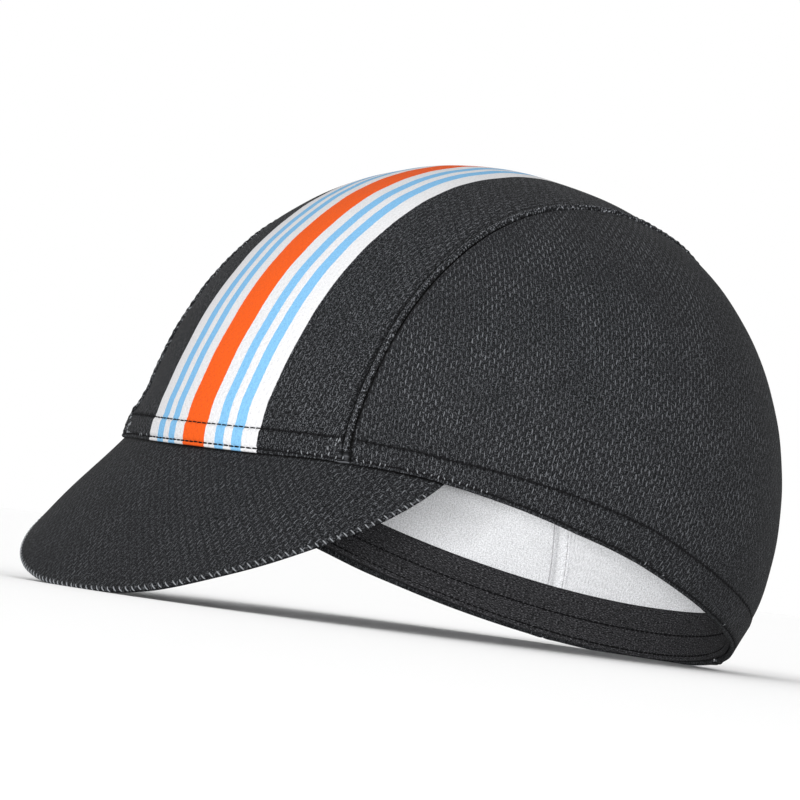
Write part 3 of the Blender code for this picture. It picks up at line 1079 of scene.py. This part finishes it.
def seam_roll(name, sizes, patches, side, material):
    """The slim roll of cloth beside a seam, on the centre panel, from hem to hem."""
    profile = np.array([0.0, 0.1, 0.25, 0.42, 0.58, 0.75, 0.9, 1.0])
    swell = np.sin(profile * math.pi) ** 0.6
    backs = [6, 1]
    draw = np.random.default_rng(SEAM_ROLL_SEED + side)
    rings, places = [], []
    travelled = 0.0
    last = None
    for patch, ups in zip(patches, roll_rows()):
        for up in ups:
            dense = np.linspace(0.80, 1.0, 81) * side
            edge = patch.place(dense, np.full_like(dense, up))
            inward = lengths(edge[::-1])
            starts = 0.00022 + profile * sizes.seam_roll
            across = np.interp(starts, inward, dense[::-1])
            points, normals = patch.face(across, np.full_like(across, up))[:2]
            middle = points[4]
            if last is not None:
                travelled += float(np.linalg.norm(middle - last))
            last = middle
            line = float(hem_line(middle, sizes))
            strength = 0.35 + 0.65 * float(ease((up - line + 0.0005) / 0.002)) if up < HEM_ZONE else 1.0
            pucker = 1.0 + 0.12 * math.sin(TURN * travelled / 0.0026) + 0.06 * draw.uniform(-1.0, 1.0)
            rise = sizes.seam_roll_height * strength * pucker * swell
            upper = points + normals * (rise - 0.00006)[:, None]
            under = points[backs] - normals[backs] * 0.00022
            rings.append(np.concatenate([upper, under]))
            widths = np.concatenate([profile, profile[backs]]) * sizes.seam_roll
            places.append(np.stack([widths, np.full(len(widths), travelled)], -1))
    faces = ring_faces(len(rings), len(rings[0]))
    points = np.concatenate(rings)
    piece = add_mesh(name, to_rest(points), faces, [material], np.concatenate(places) * MILLIMETRES)
    turn_out(piece)
    finish_piece(piece, "crown_cloth")
    return piece


def seam_allowance(name, patches, side, material):
    """The pale folded edges of cloth that cover a seam inside the crown."""
    offsets = np.linspace(-1.0, 1.0, 9)
    cover = 0.00082 + 0.00130 * bell(offsets, 0.60)
    rims = []
    for patch, ups in zip(patches, roll_rows()):
        ups = ups[(ups > HEM_TURNED_UP - 0.001) & (ups < HEM_ZONE + 0.97)]
        edge = np.full_like(ups, float(side))
        rims.append((patch.place(edge, ups), surface_normals(patch.place, edge, ups, -1.0, 1.0)))
    points, normals = (np.concatenate(part) for part in zip(*rims))
    aside = unit(np.cross(unit(np.gradient(points, axis=0)), normals))
    flat = aside[:, None, :] * (offsets * SEAM_ALLOWANCE)[None, :, None]
    inner = points[:, None, :] + flat - normals[:, None, :] * cover[None, :, None]
    backs = [8, 4, 0]
    back_cover = cover[backs] - 0.0001
    outer = points[:, None, :] + flat[:, backs] - normals[:, None, :] * back_cover[None, :, None]
    ring = np.concatenate([inner, outer], axis=1)
    travelled = lengths(points)
    widths = np.concatenate([offsets, offsets[backs]]) * SEAM_ALLOWANCE
    places = np.stack(np.broadcast_arrays(widths[None, :], travelled[:, None]), -1)
    faces, places = ring_faces(*ring.shape[:2]), places.reshape(-1, 2) * MILLIMETRES
    piece = add_mesh(name, to_rest(ring.reshape(-1, 3)), faces, [material], places)
    turn_out(piece)
    finish_piece(piece, "crown_cloth")
    return piece


def roll_rows():
    """Rises of the stations of a seam roll: up the front, then down the back."""
    low = np.arange(0.0030, HEM_ZONE, 0.0006)
    high = HEM_ZONE + np.linspace(0.0, 1.0, 260)
    front = np.concatenate([low, high])
    return front, front[-2::-1]


def line_stitches(patch, up_of, sizes, draw, lift=0.00026):
    """Starts, middles, ends and normals of the stitches of one patch's stitch line."""
    count = round(patch.total / patch.pitch)
    centres = (np.arange(count) + 0.5) * patch.pitch + draw.uniform(-0.00008, 0.00008, count)
    half = sizes.stitch_length / 2
    found = []
    for shift in (-half, 0.0, half):
        across = patch.across_at(centres + shift)
        rises = up_of(patch, across) + draw.uniform(-0.00006, 0.00006, count)
        found.append(patch.face(across, rises)[:2])
    normals = found[1][1]
    starts = found[0][0] - normals * 0.00005
    ends = found[2][0] - normals * 0.00005
    middles = (found[0][0] + found[2][0]) / 2 + normals * lift
    return starts, middles, ends, normals


def upper_line(patch, across):
    """Rise of the hem's upper stitch line."""
    return hem_line(patch.place(across, np.zeros_like(across)), patch.sizes)


def lower_line(patch, across):
    """Rise of the hem's lower stitch line."""
    return np.full_like(across, patch.sizes.low_line)


def gathered(parts):
    """Several sets of arrays joined set by set."""
    return [np.concatenate(part) for part in zip(*parts)]


def outside_stitches(sizes, material):
    """The two dark stitch lines round the outside of the hem."""
    draw = np.random.default_rng(HEM_STITCH_SEED)
    patches = all_patches(sizes)
    for name, line in (("hem_stitches_upper", upper_line), ("hem_stitches_lower", lower_line)):
        parts = gathered([line_stitches(patch, line, sizes, draw) for patch in patches])
        threads(name, *parts, sizes.thread, material)


def light_loops(sizes, material):
    """Pale thread that pokes through along the hem's lower line, most at seams and peak ends."""
    draw = np.random.default_rng(LOOP_SEED)
    parts = []
    for patch in all_patches(sizes):
        count = round(patch.total / patch.pitch)
        holes = np.arange(1, count) * patch.pitch
        base = patch.place(patch.across_at(holes), np.zeros(count - 1))
        angle = np.degrees(np.arctan2(np.abs(base[:, 0]), -base[:, 1]))
        seam = seam_distance(base)
        chance = 0.28 + 0.6 * bell(seam, 0.008) + 0.5 * bell(angle - 45.0, 6.0)
        chance = np.where(np.abs(base[:, 0]) < sizes.stripes_half + 0.002, 0.0, chance)
        chance = chance * np.interp(angle, [0.0, 60.0, 100.0, 130.0], [1.0, 1.0, 0.35, 0.0])
        kept = holes[draw.uniform(size=len(holes)) < chance]
        kept = kept + draw.uniform(-0.0004, 0.0004, len(kept))
        if len(kept):
            parts.append(loop_points(patch, kept, sizes.low_line + 0.0002, draw))
        near = holes[(seam < 0.0075) & (np.abs(base[:, 0]) < SEAM_FRONT) & (base[:, 1] < 0)]
        if len(near):
            many = np.repeat(near, 4) + draw.uniform(-0.0010, 0.0010, len(near) * 4)
            parts.append(loop_points(patch, many, None, draw))
    threads("light_loops", *gathered(parts), sizes.thread * 0.6, material)


def loop_points(patch, along, rise, draw):
    """Short upright lengths of thread at places along the rim."""
    count = len(along)
    rises = np.full(count, rise) if rise is not None else draw.uniform(0.0016, 0.0064, count)
    rises = rises + draw.uniform(-0.0002, 0.0002, count)
    half = draw.uniform(0.00028, 0.00050, count)
    lean = draw.uniform(-0.00018, 0.00018, count)
    found = []
    for sign in (-1.0, 0.0, 1.0):
        across = patch.across_at(np.clip(along + sign * lean, 0.0, patch.total))
        found.append(patch.face(across, rises + sign * half)[:2])
    normals = found[1][1]
    sunk = normals * 0.00004
    return found[0][0] - sunk, found[1][0] + normals * 0.00012, found[2][0] - sunk, normals


def band_ring(stations):
    """Points on the crown and normals round the rim, at rows up the band."""
    turns = np.linspace(-math.pi / 2, math.pi / 2, stations)
    rows = np.linspace(0.0, BAND_HEIGHT + BAND_HANG, BAND_ROWS)
    shares = share_of(BAND_RAISE - BAND_HANG + rows)
    reach = line_at("side", shares)[0]
    loops = []
    for front, order in ((True, turns), (False, turns[::-1])):
        squareness = FRONT_SQUARENESS if front else BACK_SQUARENESS
        out = np.sign(order) * np.abs(np.sin(order)) ** (2 / squareness)
        points = crown_point(shares[None, :], out[:, None] * reach[None, :], front)
        loops.append(points if front else points[1:-1])
    ring = np.concatenate(loops)
    along = np.roll(ring, -1, axis=0) - np.roll(ring, 1, axis=0)
    normals = face_away(unit(np.cross(along, np.gradient(ring, axis=1))), ring)
    return ring, normals, rows


def band_depth(rows, sizes):
    """Depth of the band's inner face under the crown, with its ribs and grooves."""
    ribs = sizes.rib_height * (0.5 + 0.5 * np.cos(TURN * rows / sizes.rib_pitch))
    grooves = sum(0.00022 * bell(rows - share * BAND_HEIGHT, 0.00045) for share in BAND_GROOVES)
    edge = np.minimum(rows, BAND_HEIGHT + BAND_HANG - rows)
    round_off = BAND_THICKNESS * 0.35 * (1 - ease(edge / 0.0006))
    return BAND_SETBACK + BAND_THICKNESS + ribs - grooves - round_off


def add_band(sizes, material):
    """The ribbed stretch band inside the rim."""
    ring, normals, rows = band_ring(BAND_STATIONS)
    slow = waves(ring, *BAND_WAVE)
    inner = ring - normals * (band_depth(rows, sizes)[None, :, None] + slow[..., None])
    backs = [0, BAND_ROWS // 2, BAND_ROWS - 1]
    outer = ring[:, backs] - normals[:, backs] * BAND_SETBACK
    points = np.concatenate([inner, outer[:, ::-1]], axis=1)
    stations, sides = points.shape[:2]
    travelled = np.linalg.norm(np.diff(ring[:, 0], axis=0, append=ring[:1, 0]), axis=-1).cumsum()
    heights = np.concatenate([rows, rows[backs][::-1] + BAND_HEIGHT * 1.2])
    places = np.stack(np.broadcast_arrays(travelled[:, None], heights[None, :]), -1)
    faces, places = ring_faces(stations, sides, closed=True), places.reshape(-1, 2) * MILLIMETRES
    piece = add_mesh("stretch_band", to_rest(points.reshape(-1, 3)), faces, [material], places)
    turn_out(piece)
    finish_piece(piece, "stretch_band", "sweatband")
    return piece


def band_stitches(sizes, material):
    """The hem's two stitch lines where they show on the band's inner face."""
    ring, normals, rows = band_ring(BAND_STITCH_STATIONS)
    draw = np.random.default_rng(BAND_STITCH_SEED)
    closed = np.concatenate([ring[:, 0], ring[:1, 0]])
    running = lengths(closed)
    count = round(running[-1] / sizes.stitch_pitch)
    pitch = running[-1] / count
    for name, share in (("band_stitches_upper", BAND_LINES[1]), ("band_stitches_lower", BAND_LINES[0])):
        row = int(round(share * (BAND_ROWS - 1)))
        depth = band_depth(rows, sizes)[row]
        line = ring[:, row] - normals[:, row] * depth
        centres = (np.arange(count) + 0.5) * pitch
        found = []
        for shift in (-sizes.stitch_length / 2, 0.0, sizes.stitch_length / 2):
            number = np.searchsorted(running, (centres + shift) % running[-1]) % len(ring)
            found.append((line[number], -normals[number, row]))
        inward = found[1][1]
        rise = inward * 0.00016 + draw.uniform(-0.00003, 0.00003, (count, 1))
        threads(
            name, found[0][0] - inward * 0.00006, (found[0][0] + found[2][0]) / 2 + rise,
            found[2][0] - inward * 0.00006, inward, sizes.thread, material)


def peak_face(across, along):
    """The peak's upper face and its normals."""
    step = 1e-4
    points = peak_surface(across, along)
    left, right = np.clip(across + step, -1, 1), np.clip(across - step, -1, 1)
    one = peak_surface(left, along) - peak_surface(right, along)
    two = peak_surface(across, along + step) - peak_surface(across, along - step)
    normals = unit(np.cross(one, two))
    return points, normals * np.where(normals[..., 2:] < 0, -1.0, 1.0)


def peak_outline():
    """Points along the peak's outer edge, from one end of the joint to the other."""
    return np.sin(np.linspace(-math.pi / 2, math.pi / 2, EDGE_POINTS))


def add_peak(material):
    """The stiff cloth-covered peak, with a round edge."""
    place = np.sin(np.linspace(-math.pi / 2, math.pi / 2, 181))
    edge_rows = np.array([0.0, 0.0007, 0.0022, 0.005, 0.009, 0.014, 0.020, 0.028])
    shares = 1.0 - np.concatenate([edge_rows, np.linspace(0.042, 1.02, 52)])[::-1]
    tree = nearest_tree(peak_surface(peak_outline(), np.ones(EDGE_POINTS)))
    across, along = np.meshgrid(place, shares)
    top, normals = peak_face(across, along)
    normals = smooth_normals(normals)
    near = np.clip(distances(tree, top) / PEAK_RADIUS, 0.0, 1.0)
    swell = np.sqrt(np.clip(1 - (1 - near) ** 2, 0.0, 1.0))[..., None]
    top = top + normals * waves(top, *PEAK_WAVE)[..., None]
    middle = top - normals * PEAK_RADIUS
    upper = middle + normals * PEAK_RADIUS * swell
    under = middle - normals * PEAK_RADIUS * swell
    rows, columns = across.shape
    points = np.concatenate([upper.reshape(-1, 3), under.reshape(-1, 3)])
    reach = np.linalg.norm(top - peak_surface(across, np.zeros_like(along)), axis=-1)
    flat = np.stack([top[..., 0], reach], -1).reshape(-1, 2) * MILLIMETRES
    faces = []
    below = rows * columns
    for row in range(rows - 1):
        for column in range(columns - 1):
            a = row * columns + column
            faces.append((a, a + 1, a + columns + 1, a + columns))
            faces.append((below + a, below + a + columns, below + a + columns + 1, below + a + 1))
    for column in range(columns - 1):
        faces.append((column + 1, column, below + column, below + column + 1))
    piece = add_mesh("peak_cover", to_rest(points), faces, [material], np.concatenate([flat, flat]))
    turn_out(piece, weld=True)
    finish_piece(piece, "peak_cloth", "peak")
    return piece


def smooth_normals(normals):
    """Normals whose outermost columns take the next column's, where the peak narrows to a point."""
    normals = normals.copy()
    normals[:, 0] = normals[:, 2]
    normals[:, 1] = normals[:, 2]
    normals[:, -1] = normals[:, -3]
    normals[:, -2] = normals[:, -3]
    return normals


def edge_threads(sizes, material):
    """Pale slanted threads over the peak's edge."""
    draw = np.random.default_rng(EDGE_THREAD_SEED)
    places = peak_outline()[20:-20]
    normals = peak_face(places, np.full(len(places), 0.9995))[1]
    edge = peak_surface(places, np.ones(len(places)))
    tangent = unit(np.gradient(edge, axis=0))
    outward = unit(np.cross(tangent, normals))
    centre = peak_surface(np.zeros(1), np.full(1, 0.3))[0]
    outward = outward * np.sign(((edge - centre) * outward).sum(-1, keepdims=True))
    middle_line = edge - normals * PEAK_RADIUS
    running = lengths(edge)
    count = int((running[-1] - 0.008) / EDGE_THREAD_PITCH)
    stops = 0.004 + (np.arange(count) + 0.5) * EDGE_THREAD_PITCH + draw.uniform(-0.00012, 0.00012, count)

    def on_edge(turn, shift, lift):
        number = np.clip(np.searchsorted(running, stops + shift), 0, len(edge) - 1)
        inset = PEAK_RADIUS * (1 - np.cos(turn))
        rise = PEAK_RADIUS * np.sin(turn)
        direction = outward[number] * np.cos(turn)[:, None] + normals[number] * np.sin(turn)[:, None]
        base = middle_line[number] - outward[number] * inset[:, None] + normals[number] * rise[:, None]
        return base + direction * lift, direction

    high = np.radians(draw.uniform(82.0, 96.0, count))
    low = np.radians(draw.uniform(-12.0, 8.0, count))
    slant = 0.00045
    starts = on_edge(high, -slant, -0.00002)[0]
    middles, direction = on_edge((high + low) / 2, 0.0, 0.00016)
    ends = on_edge(low, slant, -0.00002)[0]
    threads("peak_edge_threads", starts, middles, ends, direction, sizes.thread * 0.72, material)


def add_light(name, kind, power, toward, **settings):
    """A lamp that shines from a direction, as seen from the cap."""
    light = bpy.data.lights.new(name, kind)
    light.energy = power
    for key, value in settings.items():
        setattr(light, key, value)
    lamp = add_object(name, light)
    lamp.rotation_euler = direction_from(*toward).to_track_quat("Z", "Y").to_euler()
    return lamp


def direction_from(azimuth, elevation):
    """A direction by its angle round from the front and its angle up, in degrees."""
    round_by, up_by = math.radians(azimuth), math.radians(elevation)
    flat = math.cos(up_by)
    return Vector((math.sin(round_by) * flat, -math.cos(round_by) * flat, math.sin(up_by)))


def add_camera():
    """The camera at the photo's angle, just above the floor and slightly rolled."""
    camera = bpy.data.cameras.new("camera")
    camera.lens = CAMERA_LENS
    camera.sensor_width = 36.0
    camera.clip_start = 0.05
    camera.clip_end = 40.0
    back = direction_from(CAMERA_AZIMUTH, CAMERA_ELEVATION)
    level = Vector((math.cos(math.radians(CAMERA_AZIMUTH)), math.sin(math.radians(CAMERA_AZIMUTH)), 0.0))
    roll = math.radians(CAMERA_ROLL)
    right = level * math.cos(roll) + back.cross(level) * math.sin(roll)
    turn = Matrix((right, back.cross(right), back)).transposed().to_4x4()
    eye = add_object("camera", camera)
    eye.matrix_world = Matrix.Translation(Vector(CAMERA_TARGET) + back * CAMERA_DISTANCE) @ turn
    bpy.context.scene.camera = eye


def add_floor(material):
    """A plain round floor under the cap."""
    mesh = bpy.data.meshes.new("studio_floor")
    work = bmesh.new()
    bmesh.ops.create_circle(work, cap_ends=True, segments=128, radius=FLOOR_RADIUS)
    work.to_mesh(mesh)
    work.free()
    mesh.materials.append(material)
    add_object("studio_floor", mesh)


class CAP_OT_stage(bpy.types.Operator):
    """Adds the floor, the world, the lights and the camera"""

    bl_idname = "cap.add_stage"
    bl_label = "Add stage"

    def execute(self, context):
        scene = context.scene
        scene.view_settings.view_transform = "Standard"
        add_floor(floor_material(scene.cap_colours))
        world = bpy.data.worlds.new("studio")
        world.use_nodes = True
        background = world.node_tree.nodes["Background"]
        background.inputs["Color"].default_value = (1.0, 1.0, 1.0, 1.0)
        background.inputs["Strength"].default_value = 1.0
        scene.world = world
        add_light("key", "SUN", KEY_POWER, KEY_FROM, angle=math.radians(28.0))
        box = add_light(
            "low_soft_box", "AREA", SOFT_BOX_POWER, (SOFT_BOX_SIDE, 0.0), shape="RECTANGLE",
            size=SOFT_BOX[0], size_y=SOFT_BOX[1])
        box.location = direction_from(SOFT_BOX_SIDE, 0.0) * SOFT_BOX_DISTANCE
        box.location.z = SOFT_BOX_HEIGHT
        box.visible_camera = False
        add_camera()
        return {"FINISHED"}


class CAP_OT_panels(bpy.types.Operator):
    """Adds the crown's three printed cloth panels, with their hems"""

    bl_idname = "cap.add_panels"
    bl_label = "Add crown panels"

    def execute(self, context):
        sizes, colours = context.scene.cap_sizes, context.scene.cap_colours
        patches = crown_patches(sizes)
        inner = inside_material(colours)
        striped_knit = knit_material("centre_knit", colours, 0.42, 0.44, True, sizes.stripes_half)
        side_knit = knit_material("side_knit", colours, 0.58, 0.34, True)
        add_panel(
            "centre_cloth", "centre_panel", patches["centre"], (striped_knit, inner), sizes)
        for side in ("left", "right"):
            add_panel(
                side + "_side_cloth", side + "_side_panel", patches[side], (side_knit, inner), sizes)
        return {"FINISHED"}


class CAP_OT_seams(bpy.types.Operator):
    """Adds the slim roll of cloth beside each crown seam"""

    bl_idname = "cap.add_seams"
    bl_label = "Add seam rolls"

    def execute(self, context):
        sizes = context.scene.cap_sizes
        patches = crown_patches(sizes)["centre"]
        # Painted highlight: the roll's knit shows its pale specks at full strength, lighter than the knit
        # beside it, to stand for light along the raised roll
        knit = knit_material("seam_roll_knit_painted_highlight", context.scene.cap_colours, 0.20, 1.0)
        seam_roll("left_seam_roll", sizes, patches, 1, knit)
        seam_roll("right_seam_roll", sizes, patches, -1, knit)
        pale = inside_material(context.scene.cap_colours)
        seam_allowance("left_seam_allowance", patches, 1, pale)
        seam_allowance("right_seam_allowance", patches, -1, pale)
        return {"FINISHED"}


class CAP_OT_stitches(bpy.types.Operator):
    """Adds the stitches of the hem, the band and the peak's edge"""

    bl_idname = "cap.add_stitches"
    bl_label = "Add stitches"

    def execute(self, context):
        sizes, colours = context.scene.cap_sizes, context.scene.cap_colours
        dark = thread_material("dark_thread", colours.dark_thread)
        light = thread_material("light_thread", colours.light_thread)
        outside_stitches(sizes, dark)
        band_stitches(sizes, dark)
        light_loops(sizes, light)
        edge_threads(sizes, light)
        return {"FINISHED"}


class CAP_OT_band(bpy.types.Operator):
    """Adds the ribbed stretch band inside the rim"""

    bl_idname = "cap.add_band"
    bl_label = "Add stretch band"

    def execute(self, context):
        add_band(context.scene.cap_sizes, band_material(context.scene.cap_colours))
        return {"FINISHED"}


class CAP_OT_peak(bpy.types.Operator):
    """Adds the stiff cloth-covered peak"""

    bl_idname = "cap.add_peak"
    bl_label = "Add peak"

    def execute(self, context):
        add_peak(knit_material("peak_knit", context.scene.cap_colours, 0.42, 0.30, hem_shadow=True))
        return {"FINISHED"}


class CAP_PT_cap(bpy.types.Panel):
    """Lists the cap's pieces, sizes and colours"""

    bl_idname = "CAP_PT_cap"
    bl_label = "Cycling cap"
    bl_space_type = "VIEW_3D"
    bl_region_type = "UI"
    bl_category = "Cap"

    def draw(self, context):
        layout = self.layout
        for operator in OPERATORS:
            layout.operator(operator.bl_idname)
        for settings in (context.scene.cap_sizes, context.scene.cap_colours):
            column = layout.column()
            for name in settings.__annotations__:
                column.prop(settings, name)


OPERATORS = (CAP_OT_stage, CAP_OT_panels, CAP_OT_seams, CAP_OT_band, CAP_OT_peak, CAP_OT_stitches)
CLASSES = (CapSizes, CapColours, *OPERATORS, CAP_PT_cap)


def register():
    """Registers the classes and the scene's settings."""
    for each in CLASSES:
        bpy.utils.register_class(each)
    bpy.types.Scene.cap_sizes = PointerProperty(type=CapSizes)
    bpy.types.Scene.cap_colours = PointerProperty(type=CapColours)


def unregister():
    """Takes the scene's settings and the classes away again."""
    del bpy.types.Scene.cap_colours
    del bpy.types.Scene.cap_sizes
    for each in reversed(CLASSES):
        bpy.utils.unregister_class(each)


def main():
    """Builds the cap and its stage."""
    register()
    bpy.ops.cap.add_stage()
    bpy.ops.cap.add_panels()
    bpy.ops.cap.add_seams()
    bpy.ops.cap.add_band()
    bpy.ops.cap.add_peak()
    bpy.ops.cap.add_stitches()


if __name__ == "__main__":
    main()
